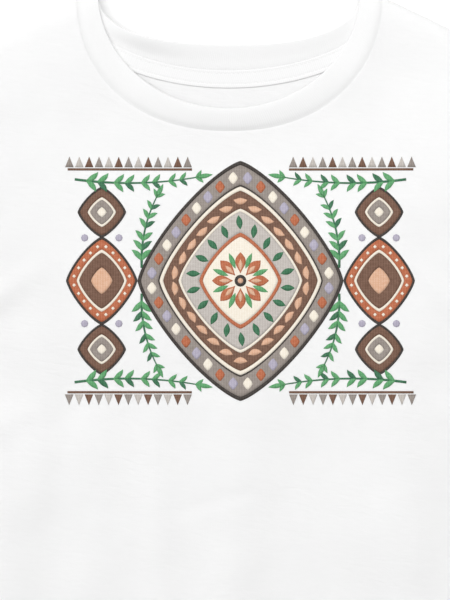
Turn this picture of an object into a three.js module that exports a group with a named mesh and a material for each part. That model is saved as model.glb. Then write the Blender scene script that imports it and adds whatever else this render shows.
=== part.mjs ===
// A crew-neck cotton T-shirt, adult size, lying on its back with its front up and its neck towards +Y.
//
// The shirt is two layers of jersey. The lower one lies on the floor. The upper one arches over it, so the
// body and the sleeves stay open inside. Both layers are height fields over one flat outline, and they curl
// towards each other along the folded edges. Left and right are the wearer's, so the left sleeve is at +X.
// Millimetres, +Z up, with the origin on the floor under the middle of the shirt.
import * as THREE from "three";

// ---- Driving sizes ---------------------------------------------------------------------------------------

const SHIRT_LENGTH = 712; // highest point of the shoulder to the hem
const HEM_HALF = 259; // half of the width at the hem
const CHEST_HALF = 253; // half of the width at the armpits

const NECK_HALF = 107; // half of the neck seam's width
const SHOULDER_HALF = 222;
const SHOULDER_DROP = 55; // how far the end of the shoulder seam is below the highest point
const ARMPIT_DROP = 272;
const ARMHOLE_SCOOP = 25; // how far the armhole seam curves in from the straight

const SLEEVE_LENGTH = 215; // along the fold on top
const SLEEVE_SLOPE = THREE.MathUtils.degToRad(33); // of that fold, below level
const CUFF_WIDTH = 186;
const CUFF_SLOPE = THREE.MathUtils.degToRad(113); // of the cuff's edge, from level

const FRONT_NECK_DROP = 95; // to the neck seam at the middle of the front
const FRONT_NECK_CURVE = 2.2; // above 2, the seam in front is fuller than an ellipse
const BACK_NECK_DROP = 52;
const BAND_EDGE_HALF = 92; // the free edge of the neckband
const BAND_EDGE_RISE = 4; // how far that edge is above the seam at its two ends
const BAND_FRONT_EDGE_DROP = 79;
const BAND_BACK_EDGE_DROP = 34;
const BAND_BACK_EDGE_CURVE = 2.5; // the free edge is squarer at the back than an ellipse, which is 2
const TAPE_WIDTH = 12;
const TAPE_END = THREE.MathUtils.degToRad(66); // from the middle, along the curve of the neck

const HIGH_POINT_Y = (SHIRT_LENGTH - BAND_EDGE_RISE) / 2; // where the shoulder seam meets the neck
const HEM_Y = HIGH_POINT_Y - SHIRT_LENGTH;

const JERSEY = 1; // thickness of one layer
const BAND = 2.4; // the neckband is folded double
const TAPE = 0.8;
const HEM_DEPTH = 25; // the hems are turned up this far and are two layers thick

const BODY_RISE = 27; // top of the upper layer, well away from the edges
const OPEN_END_RISE = 17; // the same at the hem and cuffs, where the cloth sinks
const HEM_SINK_REACH = 120; // how far up from the hem the sinking fades
const CUFF_SINK_REACH = 70;
const SHOULDER_FOLD = 5; // height of the crease along the shoulders, where the two layers meet
const SIDE_FOLD = 3.5; // the same along the sides
const FOLD_RADIUS = 14; // how far in from the crease the upper layer has finished turning
const FLOOR_RADIUS = 8; // the same for the lower layer
const ROLL_SHARE = 0.6; // how much of the radius it has climbed by then
const RISE_REACH = 50; // how far in from the crease the upper layer keeps on rising

const BAND_LIFT_END = 1; // the neckband's free edge is this far above its seam at the two ends
const BAND_LIFT_FRONT = 2; // the same at the middle of the front
const BAND_LIFT_BACK = 9; // the back of the neckband stands up from the floor
const BAND_PUFF = 2; // in front the ribbing is fuller between its seam and its edge

// Soft creases that hang from the chest and deepen towards the hem.
const FOLDS_DROP = 230; // from the highest point of the shoulder to where they start
const FOLDS_GROWTH = 260; // the length over which they deepen
const FOLDS_MARGIN = 60; // they fade out this close to the sides
const FOLDS = [
  { x: -139, width: 30, depth: 3 },
  { x: -50, width: 24, depth: 2 },
  { x: 25, width: 28, depth: 2.5 },
  { x: 139, width: 34, depth: 3 },
];

const SEAM_GAP = 0.4; // between pieces whose edges run on from each other
const CURVED_GAP = 1.2; // between pieces that meet along a curve or at an angle

// Columns and rows of each piece's grid.
const BODY_COLUMNS = 28;
const FRONT_ROWS = 24;
const BACK_ROWS = 16;
const ARMHOLE_ROWS = 12; // of a body panel's rows, the ones above the armpit
const SLEEVE_COLUMNS = 9;
const NECK_COLUMNS = 8; // of a half panel's columns, the ones that end at the neck
const BAND_COLUMNS = 32;
const FRONT_BAND_ROWS = 4;
const BACK_BAND_ROWS = 3;
const TAPE_COLUMNS = 20;

const WHITE = 0xf6f6f5;
const TAPE_WHITE = 0xefefed;
const COTTON_ROUGHNESS = 0.9;

const QUARTER_TURN = Math.PI / 2;
const TINY = 1e-7; // keeps the distance to a crease above zero
const SLOPE_STEP = 1e-4; // the share of a grid over which its slope is measured

const { clamp, lerp, smoothstep } = THREE.MathUtils;

// ---- The outline on the floor ----------------------------------------------------------------------------

const highPoint = new THREE.Vector2(NECK_HALF, HIGH_POINT_Y);
const bandCorner = new THREE.Vector2(BAND_EDGE_HALF, HIGH_POINT_Y + BAND_EDGE_RISE);
const shoulderPoint = new THREE.Vector2(SHOULDER_HALF, HIGH_POINT_Y - SHOULDER_DROP);
const armpit = new THREE.Vector2(CHEST_HALF, HIGH_POINT_Y - ARMPIT_DROP);
const hemCorner = new THREE.Vector2(HEM_HALF, HEM_Y);
const cuffTop = new THREE.Vector2(Math.cos(SLEEVE_SLOPE), -Math.sin(SLEEVE_SLOPE))
  .multiplyScalar(SLEEVE_LENGTH)
  .add(shoulderPoint);
const cuffBottom = new THREE.Vector2(Math.cos(CUFF_SLOPE), -Math.sin(CUFF_SLOPE))
  .multiplyScalar(CUFF_WIDTH)
  .add(cuffTop);
const PANEL_FOOT_Y = HEM_Y + HEM_DEPTH + SEAM_GAP / 2;

// The creases, where the upper layer turns over and becomes the lower one, on both sides of the shirt.
const creases = [
  [highPoint, shoulderPoint],
  [shoulderPoint, cuffTop],
  [armpit, cuffBottom],
  [armpit, hemCorner],
].flatMap(([a, b]) => [
  [a, b],
  [new THREE.Vector2(-a.x, a.y), new THREE.Vector2(-b.x, b.y)],
]);

function distanceToSegment(x, y, [a, b]) {
  const dx = b.x - a.x;
  const dy = b.y - a.y;
  const along = clamp(((x - a.x) * dx + (y - a.y) * dy) / (dx * dx + dy * dy), 0, 1);
  return Math.hypot(x - a.x - along * dx, y - a.y - along * dy);
}

// Distance to the nearest crease. The sum of inverse fourth powers rounds off the ridge between creases.
function distanceToCrease(x, y) {
  const closeness = creases.map((crease) => Math.max(distanceToSegment(x, y, crease), TINY) ** -4);
  return closeness.reduce((sum, value) => sum + value) ** -0.25;
}

// x of the body's side at a height: the side seam up to the armpit, then the armhole seam, which is deepest
// in its lower half.
function sideX(y) {
  if (y < armpit.y) return lerp(HEM_HALF, CHEST_HALF, (y - HEM_Y) / (armpit.y - HEM_Y));
  const up = (y - armpit.y) / (shoulderPoint.y - armpit.y);
  const scoop = Math.sin(Math.PI * up) * (1 + Math.cos(Math.PI * up) / 4);
  return lerp(CHEST_HALF, SHOULDER_HALF, up) - ARMHOLE_SCOOP * scoop;
}

// A point on a curve round the neck. The curve starts and ends at a corner and dips to a drop below the
// highest point of the shoulder. angle runs from -90 to 90 degrees, over the middle.
function neckPlan(angle, corner, drop, curve = 2) {
  const sine = Math.sin(angle);
  const dip = Math.max(Math.cos(angle), 0) ** (2 / curve);
  return new THREE.Vector2(
    corner.x * Math.sign(sine) * Math.abs(sine) ** (2 / curve),
    lerp(corner.y, HIGH_POINT_Y - drop, dip),
  );
}

// ---- Heights of the two layers ---------------------------------------------------------------------------

// How far a fold has turned: 0 at the crease, where it is upright, and 1 from the radius inwards.
function turned(distance, radius) {
  const left = 1 - clamp(distance / radius, 0, 1);
  return Math.sqrt(1 - left * left);
}

function creaseHeight(y) {
  return lerp(SIDE_FOLD, SHOULDER_FOLD, smoothstep(y, armpit.y, shoulderPoint.y));
}

// How near a point is to an open end of the cloth, from 0 to 1: the hem, or the nearer cuff.
function nearOpenEnd(x, y) {
  const cuff = distanceToSegment(Math.abs(x), y, [cuffTop, cuffBottom]);
  return Math.max(Math.exp((HEM_Y - y) / HEM_SINK_REACH), Math.exp(-cuff / CUFF_SINK_REACH));
}

function foldDepth(x, y, distance) {
  const grown = smoothstep(HIGH_POINT_Y - FOLDS_DROP - y, 0, FOLDS_GROWTH);
  const inside = smoothstep(distance, 0, FOLDS_MARGIN) * smoothstep(CHEST_HALF - Math.abs(x), 0, 1);
  const depth = FOLDS.reduce((sum, f) => sum + f.depth * Math.exp(-(((x - f.x) / f.width) ** 2)), 0);
  return depth * grown * inside;
}

// Outer face of the upper layer.
function upperHeight(x, y) {
  const distance = distanceToCrease(x, y);
  const crease = creaseHeight(y) + SEAM_GAP / 2;
  const rise = lerp(BODY_RISE, OPEN_END_RISE, nearOpenEnd(x, y)) - crease;
  const rolled = Math.min(FOLD_RADIUS, rise) * ROLL_SHARE;
  const arched = (rise - rolled) * (1 - Math.exp(-distance / RISE_REACH));
  return crease + rolled * turned(distance, FOLD_RADIUS) + arched - foldDepth(x, y, distance);
}

// Outer face of the lower layer, which is the one on the floor.
function lowerHeight(x, y) {
  const crease = creaseHeight(y) - SEAM_GAP / 2;
  return crease * (1 - turned(distanceToCrease(x, y), FLOOR_RADIUS));
}

function onUpper({ x, y }) {
  return new THREE.Vector3(x, y, upperHeight(x, y));
}

function onLower({ x, y }) {
  return new THREE.Vector3(x, y, lowerHeight(x, y));
}

// ---- Solids ----------------------------------------------------------------------------------------------

// A share from 0 to 1, moved so that equal steps of it crowd towards both ends, where the cloth turns over.
function crowded(share) {
  return (1 - Math.cos(share * Math.PI)) / 2;
}

// The direction in which a surface looks at a point of it.
function normalOf(pointAt, across, up) {
  const before = (share) => Math.max(share - SLOPE_STEP, 0);
  const after = (share) => Math.min(share + SLOPE_STEP, 1);
  const overAcross = pointAt(after(across), up).sub(pointAt(before(across), up));
  const overUp = pointAt(across, after(up)).sub(pointAt(across, before(up)));
  return overAcross.cross(overUp).normalize();
}

// The indices round the edge of a PlaneGeometry's grid, counter-clockwise.
function rimOf(columns, rows) {
  const at = (column, row) => row * (columns + 1) + column;
  const steps = (count) => Array.from({ length: count }, (_, i) => i);
  return [
    ...steps(columns).map((i) => at(i, rows)),
    ...steps(rows).map((i) => at(columns, rows - i)),
    ...steps(columns).map((i) => at(columns - i, 0)),
    ...steps(rows).map((i) => at(0, i)),
  ];
}

// A closed solid of cloth. pointAt(across, up), both from 0 to 1, gives its outer face, which looks towards
// +Z where across runs to +X and up runs to +Y. The inner face is one thickness behind it.
function cloth(name, columns, rows, thickness, colour, pointAt) {
  const grid = new THREE.PlaneGeometry(1, 1, columns, rows);
  const count = grid.attributes.position.count;
  const points = new Float32Array(count * 6);
  for (let i = 0; i < count; i += 1) {
    const across = grid.attributes.uv.getX(i);
    const up = grid.attributes.uv.getY(i);
    const outer = pointAt(across, up);
    const inner = outer.clone().addScaledVector(normalOf(pointAt, across, up), -thickness);
    outer.toArray(points, i * 3);
    inner.toArray(points, (i + count) * 3);
  }

  const faces = [...grid.index.array];
  for (let i = 0; i < grid.index.count; i += 3) {
    const [a, b, c] = grid.index.array.slice(i, i + 3);
    faces.push(a + count, c + count, b + count);
  }
  const rim = rimOf(columns, rows);
  rim.forEach((a, i) => {
    const b = rim[(i + 1) % rim.length];
    faces.push(b, a, a + count, b, a + count, b + count);
  });

  const solid = new THREE.BufferGeometry();
  solid.setAttribute("position", new THREE.BufferAttribute(points, 3));
  solid.setIndex(faces);
  solid.computeVertexNormals();
  const material = new THREE.MeshStandardMaterial({
    color: colour,
    roughness: COTTON_ROUGHNESS,
    metalness: 0,
  });
  const mesh = new THREE.Mesh(solid, material);
  mesh.name = name;
  return mesh;
}

// ---- The body --------------------------------------------------------------------------------------------

// The top edge of a half panel, from the middle (0) to the end of the shoulder (1).
function topEdge(share, neckDrop, neckCurve) {
  const neckShare = (NECK_COLUMNS / BODY_COLUMNS) * 2;
  const corner = highPoint.clone().lerp(shoulderPoint, CURVED_GAP / (SHOULDER_HALF - NECK_HALF));
  if (share < neckShare) {
    return neckPlan((share / neckShare) * QUARTER_TURN, corner, neckDrop + CURVED_GAP, neckCurve);
  }
  const along = (share - neckShare) / (1 - neckShare);
  return corner.lerp(shoulderPoint, Math.sin(along * QUARTER_TURN));
}

// A point of a body panel on the floor plan, with across from -1 to 1. It is on the straight line from the
// hem to the top edge, and each row is stretched sideways to end on the side seam or the armhole. The rows
// above the armpit end where the sleeve's own rows do.
function bodyPlan(across, up, rows, neckDrop, neckCurve) {
  const share = Math.abs(across);
  const belowArmpit = 1 - ARMHOLE_ROWS / rows;
  const sideY =
    up < belowArmpit
      ? lerp(PANEL_FOOT_Y, armpit.y, up / belowArmpit)
      : lerp(armpit.y, shoulderPoint.y, crowded((up - belowArmpit) / (1 - belowArmpit)));
  const climb = (sideY - PANEL_FOOT_Y) / (shoulderPoint.y - PANEL_FOOT_Y);
  const top = topEdge(share, neckDrop, neckCurve);
  const hemX = HEM_HALF * Math.sin(share * QUARTER_TURN);
  const side = sideX(sideY) - (CURVED_GAP / 2) * smoothstep(sideY, armpit.y - HEM_DEPTH, armpit.y);
  const stretch = side / lerp(HEM_HALF, SHOULDER_HALF, climb);
  return new THREE.Vector2(
    Math.sign(across) * lerp(hemX, top.x, climb) * stretch,
    lerp(PANEL_FOOT_Y, top.y, climb),
  );
}

function hemPlan(across, up) {
  const y = lerp(HEM_Y, HEM_Y + HEM_DEPTH - SEAM_GAP / 2, up);
  return new THREE.Vector2(sideX(y) * lerp(-1, 1, crowded(across)), y);
}

// The lower layer's outer face looks down, so its across runs the other way.
function body() {
  const front = (across, up) =>
    onUpper(bodyPlan(across * 2 - 1, up, FRONT_ROWS, FRONT_NECK_DROP, FRONT_NECK_CURVE));
  const back = (across, up) => onLower(bodyPlan(1 - across * 2, up, BACK_ROWS, BACK_NECK_DROP));
  const frontHem = (across, up) => onUpper(hemPlan(across, up));
  const backHem = (across, up) => onLower(hemPlan(1 - across, up));
  return [
    cloth("front_panel", BODY_COLUMNS, FRONT_ROWS, JERSEY, WHITE, front),
    cloth("back_panel", BODY_COLUMNS, BACK_ROWS, JERSEY, WHITE, back),
    cloth("hem_front", BODY_COLUMNS, 1, JERSEY * 2, WHITE, frontHem),
    cloth("hem_back", BODY_COLUMNS, 1, JERSEY * 2, WHITE, backHem),
  ];
}

// ---- The sleeves -----------------------------------------------------------------------------------------

// A point of a sleeve on the floor plan: along runs from the armhole to the cuff, and down from the fold on
// top to the seam below. side is 1 for the left sleeve, at +X, and -1 for the right one.
function sleevePlan(side, along, down) {
  const y = lerp(shoulderPoint.y, armpit.y, down);
  const armhole = new THREE.Vector2(sideX(y), y);
  const cuff = cuffTop.clone().lerp(cuffBottom, down);
  const start = CURVED_GAP / 2 / (cuff.x - armhole.x);
  const point = armhole.lerp(cuff, lerp(start, 1, along));
  return point.setX(point.x * side);
}

// Both layers of a sleeve or of its hem, between two shares of its length.
function sleeveLayers(name, side, from, to, columns, thickness) {
  const plan = (outwards, up) => sleevePlan(side, lerp(from, to, outwards), crowded(1 - up));
  const front = (across, up) => onUpper(plan(side > 0 ? across : 1 - across, up));
  const back = (across, up) => onLower(plan(side > 0 ? 1 - across : across, up));
  return [
    cloth(`${name}_front`, columns, ARMHOLE_ROWS, thickness, WHITE, front),
    cloth(`${name}_back`, columns, ARMHOLE_ROWS, thickness, WHITE, back),
  ];
}

function sleeve(sideName, side) {
  const hemShare = 1 - HEM_DEPTH / SLEEVE_LENGTH;
  const endShare = hemShare - CURVED_GAP / SLEEVE_LENGTH;
  return [
    ...sleeveLayers(`sleeve_${sideName}`, side, 0, endShare, SLEEVE_COLUMNS, JERSEY),
    ...sleeveLayers(`sleeve_hem_${sideName}`, side, hemShare, 1, 1, JERSEY * 2),
  ];
}

// ---- The neck --------------------------------------------------------------------------------------------

const frontHalf = {
  drop: FRONT_NECK_DROP,
  curve: FRONT_NECK_CURVE,
  edgeDrop: BAND_FRONT_EDGE_DROP,
  edgeCurve: 2,
  layerHeight: upperHeight,
  lift: BAND_LIFT_FRONT,
  puff: BAND_PUFF,
};

const backHalf = {
  drop: BACK_NECK_DROP,
  curve: 2,
  edgeDrop: BAND_BACK_EDGE_DROP,
  edgeCurve: BAND_BACK_EDGE_CURVE,
  layerHeight: lowerHeight,
  lift: BAND_LIFT_BACK,
  puff: 0,
};

// A point of one half of the neckband, from the seam (up 0) to its free edge (up 1). It lifts off the layer
// that it is sewn to, most in the middle, and it is fullest half-way up.
function bandPoint(half, across, up) {
  const angle = Math.sin(lerp(-QUARTER_TURN, QUARTER_TURN, across)) * QUARTER_TURN;
  const middle = Math.cos(angle);
  const seam = neckPlan(angle, highPoint, half.drop, half.curve);
  const edge = neckPlan(angle, bandCorner, half.edgeDrop, half.edgeCurve);
  const height = half.layerHeight(seam.x, seam.y);
  const lift = lerp(BAND_LIFT_END, half.lift, middle) * up;
  const puff = half.puff * middle * Math.sin(Math.PI * up);
  const plan = seam.lerp(edge, up);
  return new THREE.Vector3(plan.x, plan.y, height + lift + puff);
}

// A point on top of the tape that covers the seam inside the back of the neck. It lies on the lower layer.
function tapePoint(across, up) {
  const out = CURVED_GAP * 2 + TAPE_WIDTH * (1 - up);
  const corner = new THREE.Vector2(NECK_HALF + out, HIGH_POINT_Y);
  const { x, y } = neckPlan(lerp(-TAPE_END, TAPE_END, across), corner, BACK_NECK_DROP + out);
  return new THREE.Vector3(x, y, lowerHeight(x, y) + JERSEY + SEAM_GAP + TAPE);
}

function neck() {
  const front = (across, up) => bandPoint(frontHalf, across, up);
  const back = (across, up) => bandPoint(backHalf, 1 - across, up);
  return [
    cloth("neckband_front", BAND_COLUMNS, FRONT_BAND_ROWS, BAND, WHITE, front),
    cloth("neckband_back", BAND_COLUMNS, BACK_BAND_ROWS, BAND, WHITE, back),
    cloth("neck_tape", TAPE_COLUMNS, 1, TAPE, TAPE_WHITE, tapePoint),
  ];
}

// ---- The whole shirt -------------------------------------------------------------------------------------

const shirt = new THREE.Group();
shirt.name = "t_shirt";
shirt.add(...body(), ...sleeve("left", 1), ...sleeve("right", -1), ...neck());

export default shirt;
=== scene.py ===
# %% [markdown]
# # A white crew-neck T-shirt, laid on its back
#
# The frame holds the plain solids of the shirt: two panels, the sleeves' layers, the hems, the neckband
# and its tape. They have the right sizes and places. This notebook makes the cloth that is seen instead of
# them: knitted panels with folds, a ribbed neckband, turned-up hems, stitches and a printed chest.
# Everything is in metres, with +X to the wearer's left, +Y from hem to neck, and +Z up off the floor.

# %% The frame
from functools import partial

import bpy
import numpy as np
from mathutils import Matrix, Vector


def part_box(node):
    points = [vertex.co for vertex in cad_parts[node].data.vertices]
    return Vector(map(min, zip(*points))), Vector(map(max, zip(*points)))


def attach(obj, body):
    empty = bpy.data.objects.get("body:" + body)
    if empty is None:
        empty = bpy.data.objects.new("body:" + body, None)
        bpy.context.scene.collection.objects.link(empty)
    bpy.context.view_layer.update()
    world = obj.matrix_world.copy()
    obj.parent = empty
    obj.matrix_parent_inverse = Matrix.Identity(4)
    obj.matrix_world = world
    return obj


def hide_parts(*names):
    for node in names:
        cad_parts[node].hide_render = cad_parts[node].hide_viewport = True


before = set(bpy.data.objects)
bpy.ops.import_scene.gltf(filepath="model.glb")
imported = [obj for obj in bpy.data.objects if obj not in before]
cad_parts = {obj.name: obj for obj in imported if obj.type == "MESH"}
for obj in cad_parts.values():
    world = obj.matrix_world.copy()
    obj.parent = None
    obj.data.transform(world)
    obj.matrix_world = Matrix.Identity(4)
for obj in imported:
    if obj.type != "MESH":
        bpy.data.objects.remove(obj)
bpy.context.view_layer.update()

MM = 0.001

# %% [markdown]
# ## Sizes
#
# A shirt is cut from a few flat pieces, so a handful of lengths gives its whole outline. Most of them
# are read from the boxes of the solids. The rest are the slopes and curves that a box can't say.

# %% Sizes read from the solids
(_, HEM_Y, _), (HEM_HALF, _, _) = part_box("hem_front")
(_, FRONT_SEAM_Y, _), (NECK_HALF, band_top, _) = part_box("neckband_front")
(_, BACK_SEAM_Y, _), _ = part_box("neckband_back")
BAND_EDGE_RISE = 4 * MM
HIGH_POINT_Y = band_top - BAND_EDGE_RISE
print("neck", round(2 * NECK_HALF, 3), "m wide, and high point", round(HIGH_POINT_Y - HEM_Y, 3), "m up")

# %% Slopes and curves of the outline
CHEST_HALF = 253 * MM
ARMHOLE_SCOOP = 25 * MM
BAND_EDGE_HALF = 92 * MM
FRONT_SEAM_POWER = 2.2
BAND_FRONT_EDGE_Y = HIGH_POINT_Y - 79 * MM
BAND_BACK_EDGE_Y = HIGH_POINT_Y - 34 * MM


def towards(angle):
    """The unit vector at an angle from +X, or one for each of many angles."""
    return np.stack([np.cos(angle), np.sin(angle)], -1)


HIGH_POINT = np.array([NECK_HALF, HIGH_POINT_Y])
SHOULDER_POINT = HIGH_POINT + np.array([115, -55]) * MM
ARMPIT = np.array([CHEST_HALF, HIGH_POINT_Y - 272 * MM])
HEM_CORNER = np.array([HEM_HALF, HEM_Y])
CUFF_TOP = SHOULDER_POINT + 215 * MM * towards(np.radians(-33))
CUFF_BOTTOM = CUFF_TOP + 186 * MM * towards(np.radians(-113))
print("cuff from", np.round(CUFF_TOP, 3), "to", np.round(CUFF_BOTTOM, 3))

# %% [markdown]
# ## The camera and the light
#
# A shop shows a shirt from straight in front, under light so soft that white cloth stays white. Here the
# camera hangs over the chest and looks straight down. A pale sky lights everything. A wide lamp beyond the
# neck makes what leans towards the hem a little darker. A weak, very soft light from the wearer's right,
# like that of a window, brings out the folds that run down the body. The colours are shown without a film
# curve, so white paper stays white.

# %% Camera
def having(thing, **settings):
    """The same thing, with some of its settings changed."""
    for name, value in settings.items():
        setattr(thing, name, value)
    return thing


def placed(name, data, **settings):
    """A new object of the scene."""
    made = having(bpy.data.objects.new(name, data), **settings)
    scene.collection.objects.link(made)
    return made


scene = bpy.context.scene
scene.view_settings.view_transform = "Standard"
VIEW_CENTRE = (-2.8 * MM, HIGH_POINT_Y - 213.5 * MM)
VIEW_HEIGHT = 420 * MM
CAMERA_HEIGHT = 3.6
CHEST_HEIGHT = 22 * MM
SENSOR_WIDTH = 36
lens = SENSOR_WIDTH * (CAMERA_HEIGHT - CHEST_HEIGHT) / VIEW_HEIGHT
camera_data = having(bpy.data.cameras.new("camera"), sensor_width=SENSOR_WIDTH, lens=lens)
scene.camera = placed("camera", camera_data, location=(*VIEW_CENTRE, CAMERA_HEIGHT))
print("lens", round(lens), "mm")

# %% Lamp and sky
def linear(code):
    """An sRGB hex colour as linear red, green, blue and alpha."""
    srgb = np.array([int(code[i : i + 2], 16) for i in (1, 3, 5)]) / 255
    made = np.where(srgb <= 0.04045, srgb / 12.92, ((srgb + 0.055) / 1.055) ** 2.4)
    return (*made.tolist(), 1.0)


LAMP_SIZE = 1.2
lamp_data = bpy.data.lights.new("wide_lamp", "AREA")
having(lamp_data, shape="RECTANGLE", size=LAMP_SIZE, size_y=LAMP_SIZE, energy=20.5)
lamp = placed("wide_lamp", lamp_data, location=(0.2, 1.2, 2.2), visible_camera=False)
lamp.rotation_euler = np.radians([-25, 0, -16])

window_data = having(bpy.data.lights.new("window", "SUN"), energy=1.5, angle=np.radians(60))
window = placed("window", window_data, rotation_euler=np.radians([-18, -22, 0]))

scene.world = having(bpy.data.worlds.new("sky"), use_nodes=True)
background = scene.world.node_tree.nodes["Background"].inputs
background["Color"].default_value = linear("#ffffff")
background["Strength"].default_value = 0.42
print("lights:", lamp.name, window.name, scene.world.name)

# %% [markdown]
# ## How a material is put together
#
# One small helper adds a node, sets it up and links it. Every finish below is a list of such calls.

# %% Helper for nodes
def add_node(tree, kind, inputs=(), **settings):
    """Adds a node. Its inputs are given by name or number, or in their order. Each is a value for its socket,
    or what to link to it: a socket, or a node, whose first output is meant."""
    made = having(tree.nodes.new(f"ShaderNode{kind}"), **settings)
    for name, value in inputs.items() if isinstance(inputs, dict) else enumerate(inputs):
        if isinstance(value, bpy.types.Node):
            value = value.outputs[0]
        if isinstance(value, bpy.types.NodeSocket):
            tree.links.new(value, made.inputs[name])
        else:
            made.inputs[name].default_value = value
    return made


def new_material(name):
    """An empty material, and the helper that adds nodes to it."""
    material = having(bpy.data.materials.new(name), use_nodes=True)
    material.node_tree.nodes.clear()
    return material, partial(add_node, material.node_tree)


# %% Floor
floor_paper, add = new_material("matt_white_paper")
where = add("TexCoord").outputs["Object"]
grain = add("TexNoise", {"Vector": where, "Scale": 300.0, "Detail": 3.0})
bumps = add("Bump", {"Height": grain, "Strength": 0.05, "Distance": 0.2 * MM})
look = {"Base Color": linear("#f6f6f6"), "Roughness": 0.95, "Specular IOR Level": 0.2, "Normal": bumps}
add("OutputMaterial", {"Surface": add("BsdfPrincipled", look)})

FLOOR_HALF = 30.0
floor_corners = [(x * FLOOR_HALF, y * FLOOR_HALF, 0) for x, y in ((-1, -1), (1, -1), (1, 1), (-1, 1))]
floor_mesh = bpy.data.meshes.new("floor")
floor_mesh.from_pydata(floor_corners, [], [(0, 1, 2, 3)])
floor_mesh.materials.append(floor_paper)
floor = placed("floor", floor_mesh)
print(floor.name, "is", 2 * FLOOR_HALF, "m wide")

# %% [markdown]
# ## The flat outline
#
# Each panel of a shirt is cut flat. A point of the body is named by two shares: how far across it is, from
# -1 at the wearer's right to 1 at the left, and how far up, from 0 at the hem to 1 at the top edge. The top
# edge runs from the middle of the neck round to the high point and then along the shoulder. This way the rows
# of the cloth bend from the straight hem into the curve of the neck.

# %% Small helpers
def mix(a, b, share):
    """A share of the way from a to b."""
    return a + (b - a) * share


def share_of(x, low, high):
    """0 below low, 1 above high, and a straight line between."""
    return np.clip((x - low) / (high - low), 0, 1)


def smooth(x, low, high):
    """0 below low, 1 above high, and the smooth cubic 3t^2 - 2t^3 between."""
    t = share_of(x, low, high)
    return t * t * (3 - 2 * t)


def bell(distance, reach):
    """1 at no distance, falling off as e to minus the square of the distance over the reach."""
    return np.exp(-((distance / reach) ** 2))


def crowded(count, amount):
    """Shares from 0 to 1 that crowd towards 1: part even steps and part a quarter of a sine."""
    even = np.linspace(0, 1, count + 1)
    return mix(even, np.sin(even * np.pi / 2), amount)


def eased(count):
    """Shares from 0 to 1 that crowd towards both ends: half a cosine."""
    return (1 - np.cos(np.pi * np.linspace(0, 1, count + 1))) / 2


# %% Outline of the body
NECK_SHARE = 0.5
LEVEL_SHARE = 0.05


def side_x(y):
    """x of the side seam, and above the armpit x of the armhole seam, which is deepest in its lower half."""
    seam = mix(HEM_HALF, CHEST_HALF, (y - HEM_Y) / (ARMPIT[1] - HEM_Y))
    up = share_of(y, ARMPIT[1], SHOULDER_POINT[1])
    scoop = np.sin(np.pi * up) * (1 + np.cos(np.pi * up) / 4)
    armhole = mix(CHEST_HALF, SHOULDER_POINT[0], up) - ARMHOLE_SCOOP * scoop
    return np.where(y < ARMPIT[1], seam, armhole)


def neck_curve(angle, corner, bottom_y, power=2.0):
    """Half of a superellipse that hangs between its two corners, and is an ellipse where power is 2."""
    sine = np.sin(angle)
    x = corner[0] * np.sign(sine) * np.abs(sine) ** (2 / power)
    y = mix(corner[1], bottom_y, np.clip(np.cos(angle), 0, 1) ** (2 / power))
    return x, y


def body_plan(across, up, seam_y):
    """x and y of a body panel. Rows are level at the hem and bend by a square law into the top edge, and
    columns narrow towards it by a fourth power. The side's own curve fades by a cube towards the middle."""
    share = np.abs(across)
    power = FRONT_SEAM_POWER if seam_y == FRONT_SEAM_Y else 2.0
    neck = neck_curve(share_of(share, 0, NECK_SHARE) * np.pi / 2, HIGH_POINT, seam_y, power)
    along = share_of(share, NECK_SHARE, 1)
    shoulder = [mix(inner, outer, along) for inner, outer in zip(HIGH_POINT, SHOULDER_POINT)]
    top_x, top_y = np.where(share < NECK_SHARE, neck, shoulder)
    side_y = mix(HEM_Y, SHOULDER_POINT[1], up)
    bend = share_of(up, LEVEL_SHARE, 1) ** 2
    stretch = side_x(side_y) / mix(HEM_HALF, SHOULDER_POINT[0], bend**2)
    x = np.sign(across) * mix(HEM_HALF * share, top_x, bend**2) * mix(1, stretch, share**3)
    return x, side_y + (top_y - SHOULDER_POINT[1]) * bend


def sleeve_plan(along, down):
    """x and y of the left sleeve, on straight lines from the armhole to the cuff."""
    y = mix(SHOULDER_POINT[1], ARMPIT[1], down)
    cuff_x, cuff_y = (mix(top, bottom, down) for top, bottom in zip(CUFF_TOP, CUFF_BOTTOM))
    return mix(side_x(y), cuff_x, along), mix(y, cuff_y, along)


# %% [markdown]
# ## The lie of the two layers
#
# Laid on a table, a shirt is two layers that join along its creases: the shoulders, the tops and undersides
# of the sleeves, and the sides. The lower layer is flat on the table. The upper layer rolls over at each
# crease and then arches, as the air between them holds it up. Both heights depend only on how far a point is
# from the nearest crease and from the open hem and cuffs.

# %% Distance to the creases
CREASES = [
    (HIGH_POINT, SHOULDER_POINT),
    (SHOULDER_POINT, CUFF_TOP),
    (ARMPIT, CUFF_BOTTOM),
    (ARMPIT, HEM_CORNER),
]


def segment_distance(x, y, start, end):
    """Distance to a straight line between two points, from the nearest point on it."""
    step = end - start
    along = np.clip(((x - start[0]) * step[0] + (y - start[1]) * step[1]) / (step @ step), 0, 1)
    return np.hypot(x - start[0] - along * step[0], y - start[1] - along * step[1])


def crease_distance(x, y):
    """Distance to the nearest crease, rounded between two creases by a sum of inverse fourth powers."""
    mirror = np.array([-1, 1])
    both = CREASES + [(start * mirror, end * mirror) for start, end in CREASES]
    total = sum(np.maximum(segment_distance(x, y, a, b), 1e-7) ** -4.0 for a, b in both)
    return total**-0.25


# %% Heights
BODY_RISE = 27 * MM
OPEN_END_RISE = 18 * MM
SHOULDER_FOLD = 5 * MM
SIDE_FOLD = 3.5 * MM
FOLD_RADIUS = 14 * MM
FLOOR_RADIUS = 8 * MM
ROLL_SHARE = 0.6
RISE_REACH = 50 * MM
HEM_REACH = 120 * MM
CUFF_REACH = 70 * MM


def turned(distance, radius):
    """A quarter of a circle: upright at the crease, and level from the radius inwards."""
    return np.sqrt(1 - (1 - np.clip(distance / radius, 0, 1)) ** 2)


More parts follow.
